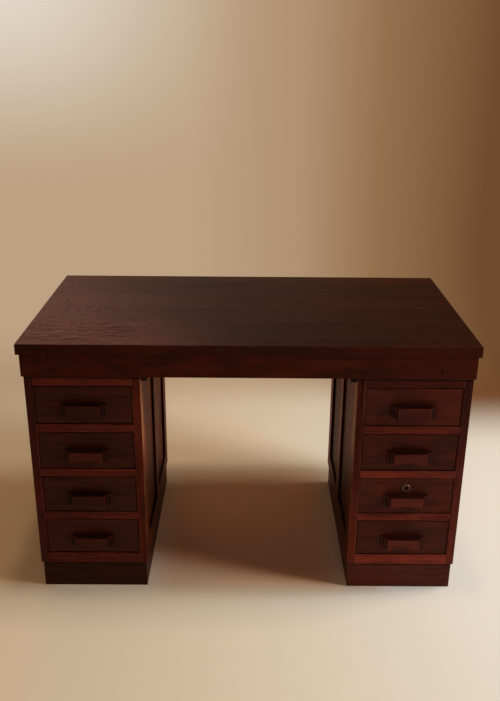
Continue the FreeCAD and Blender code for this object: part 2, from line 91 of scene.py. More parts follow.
def tint(red: float, green: float, blue: float) -> Colour:
    """Turns a colour as a screen shows it, 0 to 255, into the linear values that shaders use.

    Args:
        red, green, blue: The three screen values.

    Returns:
        The three linear values, 0 to 1.
    """
    def linear(value: float) -> float:
        """The standard curve of screens, turned round."""
        share = value / 255
        return share / 12.92 if share <= 0.04045 else ((share + 0.055) / 1.055) ** 2.4

    return linear(red), linear(green), linear(blue)


def maths(operation: str, turned: bool = False) -> Callable[..., "Signal"]:
    """Makes a method of Signal that adds one Math node.

    Args:
        operation: What the node works out.
        turned: Whether the other value comes before the signal.

    Returns:
        The method.
    """
    def method(signal: "Signal", *others: "Signal | float") -> "Signal":
        """What the node makes of the signal, and of the other value where there is one."""
        values = (*others, signal) if turned else (signal, *others)
        return signal.graph.node("ShaderNodeMath", {"operation": operation}, dict(enumerate(values)))

    return method


class Signal:
    """A value on its way through a material. Arithmetic on it adds the Math nodes that work it out."""

    __add__ = __radd__ = maths("ADD")
    __mul__ = __rmul__ = maths("MULTIPLY")
    __sub__ = maths("SUBTRACT")
    __rsub__ = maths("SUBTRACT", turned=True)
    __truediv__ = maths("DIVIDE")
    __pow__ = maths("POWER")
    __abs__ = maths("ABSOLUTE")
    part = maths("FRACT")
    whole = maths("FLOOR")
    sine = maths("SINE")
    root = maths("SQRT")

    def __init__(self, graph: "Graph", socket: bpy.types.NodeSocket) -> None:
        """Wraps an output socket of a graph's node."""
        self.graph = graph
        self.socket = socket

    def within(self, low: float, high: float) -> "Signal":
        """A smooth step up: 0 below low, 1 above high."""
        inputs = {"Value": self, "From Min": low, "From Max": high}
        return self.graph.node("ShaderNodeMapRange", {"interpolation_type": "SMOOTHSTEP"}, inputs)

    def until(self, low: float, high: float) -> "Signal":
        """A smooth step down: 1 below low, 0 above high."""
        return 1.0 - self.within(low, high)

    def clamped(self) -> "Signal":
        """The value held between 0 and 1."""
        return self.graph.node("ShaderNodeClamp", {}, {"Value": self})


@dataclass(frozen=True)
class Run:
    """Smooth noise drawn out along the grain, by its features per metre along and across the wood."""

    along: float
    across: float
    detail: float = 2.0
    roughness: float = 0.5


DRIFT = Run(1.3, 7.0)
CLOUD = Run(2.2, 5.0)
STREAK = Run(4.0, 75.0, 3.0, 0.62)
FLECK = Run(42.0, 210.0, 3.0, 0.6)
FIBRE = Run(26.0, 620.0)
PORES = Run(95.0, 1900.0, 1.0)
CRACKS = Run(11.0, 150.0, 2.0, 0.6)
WOBBLE = Run(30.0, 70.0, 3.0)
RED_PATCH = Run(9.0, 34.0, 3.0)
RUBBED = Run(9.0, 30.0, 3.0)
TARNISH = Run(160.0, 160.0, 4.0, 0.6)
SPECKS = Run(900.0, 900.0)


class Graph:
    """The nodes of one material, or of the room round the desk. They all come from the method made."""

    def __init__(self, owner: bpy.types.Material | bpy.types.World) -> None:
        """Starts with no nodes.

        Args:
            owner: What the nodes are for.
        """
        self.owner = owner
        owner.use_nodes = True
        self.tree = owner.node_tree
        self.tree.nodes.clear()

    def made(self, kind: str, settings: dict, inputs: dict) -> bpy.types.Node:
        """Adds a node.

        Args:
            kind: The node's type.
            settings: Its properties, set before its sockets are read.
            inputs: Values or signals by socket identifier, name or number.

        Returns:
            The node.
        """
        made = self.tree.nodes.new(kind)
        for name, value in settings.items():
            if name == "stops":
                self._set_stops(made.color_ramp.elements, value)
            else:
                setattr(made, name, value)
        for key, value in inputs.items():
            socket = self._socket(made.inputs, key)
            if isinstance(value, Signal):
                self.tree.links.new(value.socket, socket)
            else:
                socket.default_value = value
        return made

    def node(self, kind: str, settings: dict, inputs: dict, output: int | str = 0) -> Signal:
        """Adds a node and reads one of its outputs, by identifier, name or number."""
        return Signal(self, self._socket(self.made(kind, settings, inputs).outputs, output))

    @staticmethod
    def _socket(sockets: bpy.types.bpy_prop_collection, key: int | str) -> bpy.types.NodeSocket:
        """The socket with an identifier, or else with a name or number."""
        return next((socket for socket in sockets if socket.identifier == key), None) or sockets[key]

    @staticmethod
    def _set_stops(elements: bpy.types.bpy_prop_collection, stops: dict[float, Colour]) -> None:
        """Gives a colour ramp its stops.

        Args:
            elements: The ramp's elements, two at first.
            stops: The colour at each place from 0 to 1.
        """
        while len(elements) < len(stops):
            elements.new(0.5)
        for element, (position, colour) in zip(elements, sorted(stops.items())):
            element.position = position
            element.color = (*colour, 1.0)

    def ramp(self, share: Signal, stops: dict[float, Colour]) -> Signal:
        """A colour that changes smoothly from stop to stop."""
        return self.node("ShaderNodeValToRGB", {"stops": stops}, {0: share}, "Color")

    def vector(self, operation: str, *places: Signal | Place, output: int | str = 0) -> Signal:
        """Adds one Vector Math node that reads the places in order."""
        return self.node("ShaderNodeVectorMath", {"operation": operation}, dict(enumerate(places)), output)

    def noise(self, place: Signal, run: Run) -> Signal:
        """Smooth noise from 0 to 1.

        Args:
            place: The coordinates, in metres.
            run: The noise's scale and layers.

        Returns:
            The noise.
        """
        spread = self.vector("MULTIPLY", place, (run.along, run.across, run.across))
        inputs = {"Vector": spread, "Scale": 1.0, "Detail": run.detail, "Roughness": run.roughness}
        return self.node("ShaderNodeTexNoise", {}, inputs)

    def split(self, place: Signal) -> tuple[Signal, Signal, Signal]:
        """The three coordinates of a place."""
        outputs = self.made("ShaderNodeSeparateXYZ", {}, {0: place}).outputs
        return Signal(self, outputs[0]), Signal(self, outputs[1]), Signal(self, outputs[2])

    def joined(self, *values: Signal | float) -> Signal:
        """A place made of three coordinates."""
        return self.node("ShaderNodeCombineXYZ", {}, dict(enumerate(values)))

    def blend(self, share: Signal | float, first: Signal | Colour, second: Signal | Colour) -> Signal:
        """Mixes two colours.

        Args:
            share: How much of the second colour there is, 0 to 1.
            first, second: The colours.

        Returns:
            The mixed colour.
        """
        colours = {"Factor_Float": share}
        for key, value in (("A_Color", first), ("B_Color", second)):
            colours[key] = value if isinstance(value, Signal) else (*value, 1.0)
        return self.node("ShaderNodeMix", {"data_type": "RGBA"}, colours, "Result_Color")

    def dimmed(self, colour: Signal, level: Signal | float) -> Signal:
        """A colour made brighter or darker by a level around 1."""
        return self.node("ShaderNodeHueSaturation", {}, {"Color": colour, "Value": level})

    def attribute(self, name: str, output: str = "Fac") -> Signal:
        """What a mesh holds under a name."""
        return self.node("ShaderNodeAttribute", {"attribute_name": name}, {}, output)

    def desk_place(self) -> Signal:
        """A point's place on the desk, in metres."""
        return self.node("ShaderNodeTexCoord", {}, {}, "Object")

    def looks(self) -> tuple[Signal, Signal, Signal]:
        """The direction that a face looks in, across, back and up, each from -1 to 1."""
        return self.split(self.node("ShaderNodeTexCoord", {}, {}, "Normal"))

    def ray(self, kind: str) -> Signal:
        """1 for the rays of a kind, 0 for the others."""
        return self.node("ShaderNodeLightPath", {}, {}, f"Is {kind} Ray")

    def away(self, spot: Spot, squeeze: Place) -> Signal:
        """How far a point of the desk lies from a spot, in the spot's own radii.

        Args:
            spot: The spot.
            squeeze: How much shorter than its radius the spot is along each axis.

        Returns:
            The distance.
        """
        apart = self.vector("SUBTRACT", self.desk_place(), spot[:3])
        oval = self.vector("MULTIPLY", apart, tuple(share / spot[3] for share in squeeze))
        return self.vector("LENGTH", oval, output="Value")

    def near(self, spots: tuple[Spot, ...], squeeze: Place, fading: tuple[float, float],
             drift: Signal | float = 0.0) -> Signal:
        """1 inside the spots and 0 outside, fading between two radii. Drift takes a point further away."""
        return sum((self.away(spot, squeeze) + drift).until(*fading) for spot in spots)

    def place(self, grain: "Grain") -> Signal:
        """Coordinates along, across and through the wood.

        Args:
            grain: Where the grain runs.

        Returns:
            The board's own coordinates where its mesh holds them, otherwise the desk's, turned to the grain.
        """
        if grain is Grain.OWN:
            return self.attribute("board", "Vector")
        axes = self.split(self.desk_place())
        return self.joined(*(axes[number] for number in grain.value))

    def skin(self, height: Signal, relief: float, depth: float,
             sockets: dict[str, Signal | float]) -> bpy.types.Material:
        """Ends the graph in a surface with a bump, by its height, its strength and its depth in metres."""
        bump = self.node("ShaderNodeBump", {}, {"Strength": relief, "Distance": depth, "Height": height})
        return self.finished(self.node("ShaderNodeBsdfPrincipled", {}, {**sockets, "Normal": bump}))

    def finished(self, shader: Signal) -> bpy.types.Material | bpy.types.World:
        """Ends the graph in the output of its material or world.

        Args:
            shader: What the output reads.

        Returns:
            The material or world.
        """
        kind = "World" if isinstance(self.owner, bpy.types.World) else "Material"
        self.made(f"ShaderNodeOutput{kind}", {}, {"Surface": shader})
        return self.owner


class Grain(Enum):
    """Where a piece's grain runs: its numbers are the axes along, across and through the board."""

    OWN = None
    ALONG_X = (0, 1, 2)
    ALONG_Y = (1, 0, 2)
    ALONG_Z = (2, 1, 0)


class Facing(Enum):
    """Which faces of a piece have its main colours: its number is the axis that they look along."""

    SIDEWAYS = 0
    UP = 2


@dataclass(frozen=True)
class PaintedLight:
    """Painted light and shade on a wood, low down and high up, and the two heights between which it changes.

    The lean lowers that change by so much for each metre further back. The back level is what is left of
    it all in the kneehole's depth, and it sets in between the near and far distance behind the front.
    """

    low_level: float
    high_level: float
    bottom: float = 0.05
    top: float = 0.68
    lean: float = 0.0
    back_level: float = 1.0
    near: float = 0.07
    far: float = 0.30

    def level(self, graph: Graph) -> Signal:
        """The painted light and shade over the surface.

        Args:
            graph: The wood's graph.

        Returns:
            The level, around 1.
        """
        _, back, up = graph.split(graph.desk_place())
        behind = back - BODY_FRONT
        height = up + behind * self.lean
        level = height.within(self.bottom, self.top) * (self.high_level - self.low_level) + self.low_level
        return level * (behind.within(self.near, self.far) * (self.back_level - 1.0) + 1.0)


# The marks' means, how much they roughen a finish, and how far they stand up from it.
MEANS = {"ring": 0.33, "streak": 0.5, "fleck": 0.5, "fibre": 0.5, "cloud": 0.5}
ROUGHENS = {"cloud": 0.10, "fibre": 0.08, "pores": 0.10, "crack": 0.14}
RISES = {"fibre": 0.35, "ring": 0.3, "streak": 0.8, "pores": -0.8, "crack": -1.2}


@dataclass
class Figure:
    """The marks in a piece of wood, each from 0 to 1 over its surface. Some woods lack the last four."""

    ring: Signal
    streak: Signal
    fleck: Signal
    fibre: Signal
    cloud: Signal
    pores: Signal
    knot: Signal | float = 0.0
    ribbon: Signal | float = 0.0
    flame: Signal | float = 0.0
    crack: Signal | float = 0.0

    def swayed(self, level: float, weights: dict[str, float]) -> Signal:
        """A level that each mark moves up and down from its own mean.

        Args:
            level: The level.
            weights: How much each mark moves it. A mark that the wood doesn't have is passed over.

        Returns:
            The level over the surface.
        """
        found = [mark for mark in weights if isinstance(getattr(self, mark), Signal)]
        even = level - sum(weights[mark] * MEANS.get(mark, 0.0) for mark in found)
        return sum(getattr(self, mark) * weights[mark] for mark in found) + even


@dataclass(frozen=True)
class Wood:
    """One wood of the desk: its colours, its figure and its sheen.

    The growth rings are rings round the tree's middle, which lies beside the board, so a board shows
    arches where it is cut near the middle and stripes where it isn't. A share says how strongly a mark
    shows. Knots, slanting ribbons, red flames, open grain and pale patches of painted highlight and wear
    lie at spots on the desk.
    """

    name: str
    slot: str
    pale: Colour
    deep: Colour
    pore: Colour
    # The colour of rubbed edges, also used for painted highlights and, on the drawer fronts, painted shade
    # in the gaps.
    wear_and_painted_light: Colour
    # The colour of painted shade: in recesses, under a ledge, on top faces and round the pulls.
    shade_colour: Colour = tint(14, 5, 4)
    blush: Colour | None = None
    edge_pale: Colour | None = None
    edge_deep: Colour | None = None
    face: Facing = Facing.UP

    # The marks that are all over the wood. A stave is one board of a slab that is glued up from several.
    ring_pitch: float = 0.0042
    ring_share: float = 0.30
    streak_share: float = 1.76
    fibre_share: float = 0.55
    fleck_share: float = 1.5
    cloud_share: float = 0.9
    pore_share: float = 0.55
    knot_share: float = 0.0
    blush_share: float = 0.6
    face_blush: float = 1.0
    tone_spread: float = 0.30
    stave: float = 0.0

    # The marks at spots.
    knots: tuple[Spot, ...] = ()
    ribbons: tuple[Spot, ...] = ()
    ribbon_share: float = 0.42
    flames: tuple[Spot, ...] = ()
    flame_share: float = 0.6
    open_grain: tuple[Spot, ...] = ()
    crack_share: float = 0.5
    highlight_and_wear_spots: tuple[Spot, ...] = ()

    # Age, use and painted light: rubbed edges, hand polish, painted shade and highlight, and light by
    # height.
    wear_share: float = 0.55
    recess_shade_share: float = 0.0
    tread_shade: float = 1.0
    ledge: float = 0.0
    shaded_top: bool = False
    pull_shadow_and_polish: bool = False
    pull_shadow_share: float = 0.22
    hand_polish: float = 0.08
    front_highlight: float = 0.0
    face_painted_light: PaintedLight | None = None
    edge_painted_light: PaintedLight | None = None

    # The sheen, and the strength and depth of the bump.
    roughness: float = 0.42
    gloss: float = 0.10
    relief: float = 0.35
    depth: float = 0.0003

    def material(self, grain: Grain = Grain.OWN) -> bpy.types.Material:
        """Builds the wood's material.

        Args:
            grain: Where the grain of the pieces runs.

        Returns:
            The material.
        """
        graph = Graph(bpy.data.materials.new(f"{self.name}_{grain.name.lower()}"))
        place, tone = self._place(graph, grain)
        figure = self._figure(graph, place)
        colour = self._stain(graph, place, tone, figure)
        colour = self._lit(graph, figure, colour)
        if grain is Grain.OWN:
            colour = self._age(graph, place, figure, colour)
        rough = figure.swayed(self.roughness, ROUGHENS)
        if self.pull_shadow_and_polish:
            # Painted shadow round each pull darkens the colour; hand polish lowers the roughness there.
            near_pull = self._near_pull(graph) * (figure.cloud + 0.5)
            colour = graph.blend(near_pull * self.pull_shadow_share, colour, self.shade_colour)
            rough = rough - near_pull * self.hand_polish
        sockets = {"Base Color": colour, "Roughness": rough, "Specular IOR Level": self.gloss}
        return graph.skin(figure.swayed(0.0, RISES), self.relief, self.depth, sockets)

    def _place(self, graph: Graph, grain: Grain) -> tuple[Signal, Signal | float]:
        """Where a point lies in its board, and how light that board is.

        Kept nodes hold no coordinates of their boards, so the middle of their tree is put a little under
        them. A slab's staves are cut from it by rows, and each is moved along and across by its own draw.

        Args:
            graph: The wood's graph.
            grain: Where the grain runs.

        Returns:
            The place, and the board's tone from 0 to 1.
        """
        pith_below, stave_pith_below = 0.06, 0.05
        first_stave, moved_along, moved_across = 0.37, 3.7, 0.07
        place = graph.place(grain)
        along, across, through = graph.split(place)
        if self.stave:
            row = across / self.stave + first_stave
            lot = {"W": row.whole()}
            tone = graph.node("ShaderNodeTexWhiteNoise", {"noise_dimensions": "1D"}, lot, "Value")
            across = (row.part() - 0.5) * self.stave + (tone - 0.5) * moved_across
            return graph.joined(along + tone * moved_along, across, through + stave_pith_below), tone
        if grain is Grain.OWN:
            return place, graph.attribute("tone")
        return graph.joined(along, across, through + pith_below), EVEN_TONE

    def _figure(self, graph: Graph, place: Signal) -> Figure:
        """The marks in the wood.

        Args:
            graph: The wood's graph.
            place: Where a point lies in its board.

        Returns:
            The marks.
        """
        along, across, through = graph.split(place)
        drift = graph.noise(place, DRIFT) - 0.5
        streak = graph.noise(place, STREAK)
        distance = (across * across + through * through).root() + drift * 0.030
        distance, knot = self._knotted(graph, place, drift, distance)
        ring = (distance / self.ring_pitch).part()
        figure = Figure(ring * ring, streak, graph.noise(place, FLECK), graph.noise(place, FIBRE),
                        graph.noise(place, CLOUD), graph.noise(place, PORES).within(0.60, 0.74), knot)
        if self.ribbons:
            slope, ribbon_pitch = 0.9, 0.012
            turns = (along * slope + across + through) * (2 * math.pi / ribbon_pitch)
            wave = (turns + graph.noise(place, WOBBLE) * 9.0).sine() * 0.5 + 0.5
            inside = graph.near(self.ribbons, (0.6, 0.6, 1.0), (0.5, 1.0))
            figure.ribbon = wave * streak.within(0.30, 0.60) * inside
        if self.flames:
            inside = graph.near(self.flames, (0.5, 0.5, 1.6), (0.2, 1.1), drift * 1.6)
            figure.flame = streak.within(0.30, 0.62) * inside
        if self.open_grain:
            inside = graph.near(self.open_grain, (0.5, 1.0, 1.0), (0.5, 1.0))
            figure.crack = graph.noise(place, CRACKS).within(0.54, 0.64) * inside
        return figure

    def _knotted(self, graph: Graph, place: Signal, drift: Signal,
                 distance: Signal) -> tuple[Signal, Signal | float]:
        """Adds small knots all over the wood and larger ones at its spots.

        Args:
            graph: The wood's graph.
            place: Where a point lies in its board.
            drift: How far the rings wander, around 0.
            distance: The point's distance from the tree's middle.

        Returns:
            The distance, bulging round the knots, and how dark the knots are.
        """
        knots_per_metre, small_bulge, large_bulge, large_share = 9.0, 0.016, 0.03, 0.65
        knot = 0.0
        if self.knot_share:
            cells = graph.made("ShaderNodeTexVoronoi", {}, {"Vector": place, "Scale": knots_per_metre})
            off = Signal(graph, cells.outputs["Distance"])
            lot = graph.split(Signal(graph, cells.outputs["Color"]))[0].within(0.80, 0.84)
            swell = off.until(0.0, 0.40) * lot
            distance = distance + swell * swell * small_bulge
            knot = off.until(0.02, 0.075) * lot * self.knot_share
        for spot in self.knots:
            away = graph.away(spot, (1.1, 0.3, 0.55)) + drift * 1.5
            swell = away.until(0.0, 7.0)
            distance = distance + swell * swell * large_bulge
            knot = knot + away.until(0.4, 1.4) * large_share
        return distance, knot

    def _stain(self, graph: Graph, place: Signal, tone: Signal | float, figure: Figure) -> Signal:
        """The stained wood's colour, painted highlight patches included, before the rest of light, age and
        use.

        Args:
            graph: The wood's graph.
            place: Where a point lies in its board.
            tone: How light the board is, 0 to 1.
            figure: The wood's marks.

        Returns:
            The colour.
        """
        pale, deep = self.pale, self.deep
        facing = self._facing(graph)
        if self.edge_pale:
            pale = graph.blend(facing, self.edge_pale, self.pale)
            deep = graph.blend(facing, self.edge_deep, self.deep)
        weights = {"streak": self.streak_share, "ring": self.ring_share, "fibre": self.fibre_share,
                   "fleck": self.fleck_share, "cloud": self.cloud_share}
        colour = graph.blend(figure.swayed(0.5, weights).clamped(), pale, deep)
        if self.blush:
            patch = graph.noise(place, RED_PATCH).within(0.40, 0.68) * 0.75 + 0.25
            bare = 1.0 - facing * (1.0 - self.face_blush)
            colour = graph.blend(patch * bare * tone * self.blush_share, colour, self.blush)
            if self.flames:
                colour = graph.blend(figure.flame.clamped() * bare * self.flame_share, colour, self.blush)
        if self.highlight_and_wear_spots:
            # Painted highlight and wear: pale patches on the main faces.
            inside = graph.near(self.highlight_and_wear_spots, (0.5, 1.0, 1.0), (0.2, 1.5))
            colour = graph.blend(inside * facing * (figure.streak * 0.5 + 0.3), colour, self.wear_and_painted_light)
        if self.open_grain:
            colour = graph.blend(figure.crack.clamped() * self.crack_share, colour, self.pore)
        colour = graph.blend(figure.pores * self.pore_share, colour, self.pore)
        if self.knot_share or self.knots:
            colour = graph.blend(figure.knot.clamped(), colour, self.pore)
        return graph.dimmed(colour, (tone - EVEN_TONE) * self.tone_spread + 1.0)

    def _lit(self, graph: Graph, figure: Figure, colour: Signal) -> Signal:
        """The colour with painted light and shade by height and depth, ribbons, painted highlight and shade.

        Args:
            graph: The wood's graph.
            figure: The wood's marks.
            colour: The colour before.

        Returns:
            The colour after.
        """
        facing = self._facing(graph)
        edge = 1.0 - facing
        # Painted light and shade by height and depth, on the main faces and on the edges.
        for fade, share in ((self.face_painted_light, facing), (self.edge_painted_light, edge)):
            if fade:
                colour = graph.dimmed(colour, (fade.level(graph) - 1.0) * share + 1.0)
        if self.ribbons:
            colour = graph.blend(figure.ribbon * edge * self.ribbon_share, colour, self.blush)
        if self.front_highlight:
            # Painted highlight: a pale strip along the front of the sideways faces, high up.
            _, back, up = graph.split(graph.desk_place())
            strip = (back - BODY_FRONT).until(0.014, 0.062) * up.within(0.40, 0.52) * facing
            colour = graph.blend(strip * (figure.streak + 0.4) * self.front_highlight, colour, self.wear_and_painted_light)
        if self.shaded_top:
            # Painted shade: the faces that look up are darkened.
            colour = graph.blend(facing * (figure.fibre * 0.2 + 0.68), colour, self.shade_colour)
        return colour

    def _facing(self, graph: Graph) -> Signal:
        """1 on the faces that look along the wood's main axis, 0 on the others."""
        look = graph.looks()[self.face.value]
        return look.within(0.35, 0.85) if self.face is Facing.UP else (look * look).within(0.2, 0.7)

    def _age(self, graph: Graph, place: Signal, figure: Figure, colour: Signal) -> Signal:
        """The colour with rubbed edges, and painted shade in the recesses and under the ledge.

        Args:
            graph: The wood's graph.
            place: Where a point lies in its board.
            figure: The wood's marks.
            colour: The colour before.

        Returns:
            The colour after.
        """
        # Rubbed edges take the edge colour; on the drawer fronts it is near black, as painted shade in the
        # gaps.
        rubbed = graph.noise(place, RUBBED).within(0.36, 0.60)
        colour = graph.blend(graph.attribute("arris") * rubbed * self.wear_share, colour, self.wear_and_painted_light)
        if self.recess_shade_share:
            # Painted shade in the recesses, lighter on the treads that look forward.
            look = graph.looks()[1]
            tread = 1.0 - (look * look).within(0.2, 0.7) * (1.0 - self.tread_shade)
            recess_shade = graph.attribute("sunk") * (figure.cloud * 0.4 + 0.75) * tread * self.recess_shade_share
            colour = graph.blend(recess_shade.clamped(), colour, self.shade_colour)
        if self.ledge:
            # Painted shadow: a dark band just under the ledge.
            band_bottom, band_top = self.ledge - 0.011, self.ledge - 0.002
            height = graph.split(graph.desk_place())[2]
            under = height.within(band_bottom, band_top) * (figure.cloud * 0.6 + 0.55)
            colour = graph.blend(under.clamped(), colour, self.shade_colour)
        return colour

    @staticmethod
    def _near_pull(graph: Graph) -> Signal:
        """The area round each drawer's pull, which takes a painted shadow and a hand polish.

        Args:
            graph: The wood's graph.

        Returns:
            1 at the pull, fading to 0 a few fingers away.
        """
        reach_aside, reach_above = 0.100, 0.042
        x, _, z = graph.split(graph.desk_place())
        aside = (abs(x) - PULL_ACROSS) / reach_aside
        level = ((z - LOWEST_BAY) / BAY_PITCH).part() * BAY_PITCH
        above = (level - PULL_MIDDLE) / reach_above
        return (aside * aside + above * above).root().until(0.45, 1.15)


@dataclass(frozen=True)
class Metal:
    """One metal of the desk: bright where it is rubbed and dull where it is tarnished.

    A dished plate is dull inside a circle, given by its centre across and up and by its radius.
    """

    name: str
    slot: str
    bright: Colour
    dull: Colour
    roughness: float = 0.38
    dished: tuple[float, float, float] | None = None
    relief: float = 0.25
    depth: float = 0.0002

    def material(self) -> bpy.types.Material:
        """Builds the metal's material.

        Returns:
            The material.
        """
        graph = Graph(bpy.data.materials.new(self.name))
        place = graph.desk_place()
        tarnish = graph.noise(place, TARNISH).within(0.34, 0.66)
        if self.dished:
            middle_across, middle_up, radius = self.dished
            across, _, up = graph.split(place)
            away = ((across - middle_across) ** 2.0 + (up - middle_up) ** 2.0).root() / radius
            tarnish = (tarnish * 0.4 + away.until(0.86, 1.0)).clamped()
        speck = graph.noise(place, SPECKS)
        sockets = {"Base Color": graph.blend(tarnish, self.bright, self.dull),
                   "Metallic": 1.0 - tarnish * 0.35,
                   "Roughness": self.roughness + tarnish * 0.22 + (speck - 0.5) * 0.12}
        return graph.skin(speck, self.relief, self.depth, sockets)


TOP = Wood(
    "top_wood", "top_wood", pale=tint(50, 18, 11), deep=tint(25, 9, 6), pore=tint(8, 4, 3),
    wear_and_painted_light=tint(78, 34, 22), edge_pale=tint(64, 27, 14), edge_deep=tint(38, 15, 7), roughness=0.36,
    gloss=0.037, tone_spread=0.14, stave=0.135, ring_share=0.5, relief=0.7, depth=0.0012,
    blush=tint(96, 34, 15), blush_share=1.0, face_blush=0.16, knot_share=0.6, fleck_share=1.1,
    flames=((0.52, -0.33, 0.762, 0.10), (0.30, -0.33, 0.764, 0.05), (-0.28, -0.33, 0.768, 0.05)),
    flame_share=0.30, open_grain=((-0.47, -0.23, 0.775, 0.12),), highlight_and_wear_spots=((-0.50, -0.27, 0.775, 0.17),))
FRIEZE = Wood(
    "frieze_wood", "frieze_wood", pale=tint(58, 27, 16), deep=tint(33, 15, 9), pore=tint(16, 5, 3),
    wear_and_painted_light=tint(104, 40, 27), blush=tint(92, 35, 16), blush_share=0.9, gloss=0.035, fleck_share=1.9,
    cloud_share=1.5, knot_share=0.85,
    knots=((-0.539, -0.328, 0.733, 0.004), (-0.47, -0.328, 0.728, 0.003), (0.52, -0.328, 0.701, 0.004)),
    flames=((-0.46, -0.328, 0.725, 0.05), (0.50, -0.328, 0.700, 0.07)), flame_share=0.18)
RAIL = Wood(
    "rail_wood", "rail_wood", pale=tint(106, 46, 35), deep=tint(58, 23, 16), pore=tint(34, 12, 9),
    wear_and_painted_light=tint(138, 68, 52), ring_share=0.35, blush=tint(142, 57, 42), tone_spread=1.1, recess_shade_share=0.9,
    ledge=0.681, fleck_share=2.1, gloss=0.06)
# The edge light paints light and shade on the outer frames' front faces: darker on the left, lighter low
# down on the right.
SIDE = Wood(
    "side_wood", "side_wood", pale=tint(88, 35, 26), deep=tint(50, 19, 14), pore=tint(26, 10, 7),
    wear_and_painted_light=tint(130, 64, 46), wear_share=0.6, blush=tint(112, 43, 33), roughness=0.58, recess_shade_share=0.8,
    ledge=0.681, gloss=0.08, face=Facing.SIDEWAYS, edge_painted_light=PaintedLight(0.58, 0.57))
SIDE_RIGHT = replace(SIDE, name="side_wood_right", edge_painted_light=PaintedLight(2.25, 0.74, 0.10, 0.64))
SIDE_PANEL = replace(
    SIDE, name="side_panel_wood", slot="panel_wood", pale=tint(94, 39, 27), deep=tint(54, 21, 14),
    ledge=0.0, edge_painted_light=None, ring_share=0.6)
# The inner sides' tan colour and face light paint the lit floor's reflection, bright high up and dark low
# down; the edge light paints light and shade on their front faces.
INNER = Wood(
    "inner_side_wood", "side_wood", pale=tint(142, 70, 33), deep=tint(84, 37, 17), pore=tint(34, 15, 10),
    wear_and_painted_light=tint(176, 116, 82), wear_share=0.35, face=Facing.SIDEWAYS, edge_pale=tint(98, 40, 29),
    edge_deep=tint(54, 21, 14), roughness=0.50, gloss=0.05, recess_shade_share=0.92, streak_share=2.86,
    blush=tint(124, 50, 32), ledge=0.681, face_painted_light=PaintedLight(0.36, 1.36, 0.34, 0.54, 0.60, 1.25),
    edge_painted_light=PaintedLight(0.60, 1.0), front_highlight=0.80, tone_spread=0.2)
INNER_RIGHT = replace(
    INNER, name="inner_side_wood_right", face_painted_light=PaintedLight(0.40, 1.50, 0.34, 0.54, 0.60, 1.20),
    edge_painted_light=PaintedLight(1.05, 0.60), ribbons=((0.306, -0.323, 0.17, 0.17),))
# The panels' tan colour and face light paint the same reflection of the lit floor.
PANEL = Wood(
    "panel_wood", "panel_wood", pale=tint(134, 64, 32), deep=tint(80, 35, 18), pore=tint(32, 15, 10),
    wear_and_painted_light=tint(130, 74, 54), face=Facing.SIDEWAYS, roughness=0.52, gloss=0.05,
    face_painted_light=PaintedLight(0.36, 1.35, 0.34, 0.54, 0.60, 1.3))
PANEL_RIGHT = replace(PANEL, name="panel_wood_right", face_painted_light=PaintedLight(0.36, 1.40, 0.34, 0.54, 0.60, 0.6))
# The fronts' near-black edge colour is painted shade in the gaps round each front; round each pull is a
# painted shadow.
FRONT = Wood(
    "front_wood", "front_wood", pale=tint(71, 35, 24), deep=tint(38, 18, 11), pore=tint(18, 8, 5),
    wear_and_painted_light=tint(12, 4, 3), wear_share=0.97, tone_spread=0.5, blush=tint(94, 37, 22), blush_share=0.9,
    gloss=0.07, pull_shadow_and_polish=True, flames=((0.575, -0.322, 0.62, 0.075), (0.53, -0.322, 0.565, 0.06)))
PULL = Wood(
    "pull_wood", "pull_wood", pale=tint(94, 40, 29), deep=tint(60, 25, 16), pore=tint(28, 10, 7),
    wear_and_painted_light=tint(122, 42, 32), wear_share=0.35, roughness=0.36, shaded_top=True, recess_shade_share=0.95,
    tread_shade=0.65, tone_spread=1.0, blush=tint(116, 43, 32), gloss=0.08)
PLINTH = Wood(
    "plinth_wood", "plinth_wood", pale=tint(76, 38, 27), deep=tint(44, 21, 13), pore=tint(20, 9, 7),
    wear_and_painted_light=tint(100, 52, 40), blush=tint(90, 37, 24), ledge=0.0835, tone_spread=0.9, gloss=0.07)
BLOCK = Wood(
    "block_wood", "dark_wood", pale=tint(42, 22, 16), deep=tint(22, 11, 8), pore=tint(12, 6, 5),
    wear_and_painted_light=tint(70, 40, 30), roughness=0.6)
BARE = Wood(
    "bare_wood", "drawer_wood", pale=tint(196, 158, 112), deep=tint(150, 112, 74), pore=tint(96, 66, 40),
    wear_and_painted_light=tint(214, 184, 142), roughness=0.62, pore_share=0.4, wear_share=0.4, gloss=0.3, knot_share=0.5)
INSIDE = Wood(
    "inside_wood", "inside_wood", pale=tint(176, 138, 98), deep=tint(128, 94, 64), pore=tint(82, 56, 36),
    wear_and_painted_light=tint(196, 162, 122), roughness=0.66, pore_share=0.4, gloss=0.3, knot_share=0.7)
OLD_BRASS = Metal("old_brass", "old_brass", tint(128, 104, 76), tint(62, 48, 34), 0.5)
KEY_PLATE = Metal(
    "key_plate_brass", "old_brass", tint(134, 104, 88), tint(40, 24, 18), 0.5, (PULL_ACROSS, 0.3415, 0.0088))
STEEL = Metal("screw_steel", "steel", tint(150, 146, 140), tint(92, 84, 76), 0.42)
IRON = Metal("lock_iron", "steel", tint(78, 74, 70), tint(34, 30, 28), 0.55)


def mesh_arrays(thing: bpy.types.Object) -> tuple[np.ndarray, np.ndarray]:
    """Reads a triangle mesh.

    Args:
        thing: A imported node's object.

    Returns:
        The places of its points, and the three point numbers of each triangle.
    """
    mesh = thing.data
    points = np.empty(len(mesh.vertices) * 3, np.float32)
    corners = np.empty(len(mesh.loops), np.int32)
    mesh.vertices.foreach_get("co", points)
    mesh.loops.foreach_get("vertex_index", corners)
    return points.reshape(-1, 3).astype(float), corners.reshape(-1, 3)


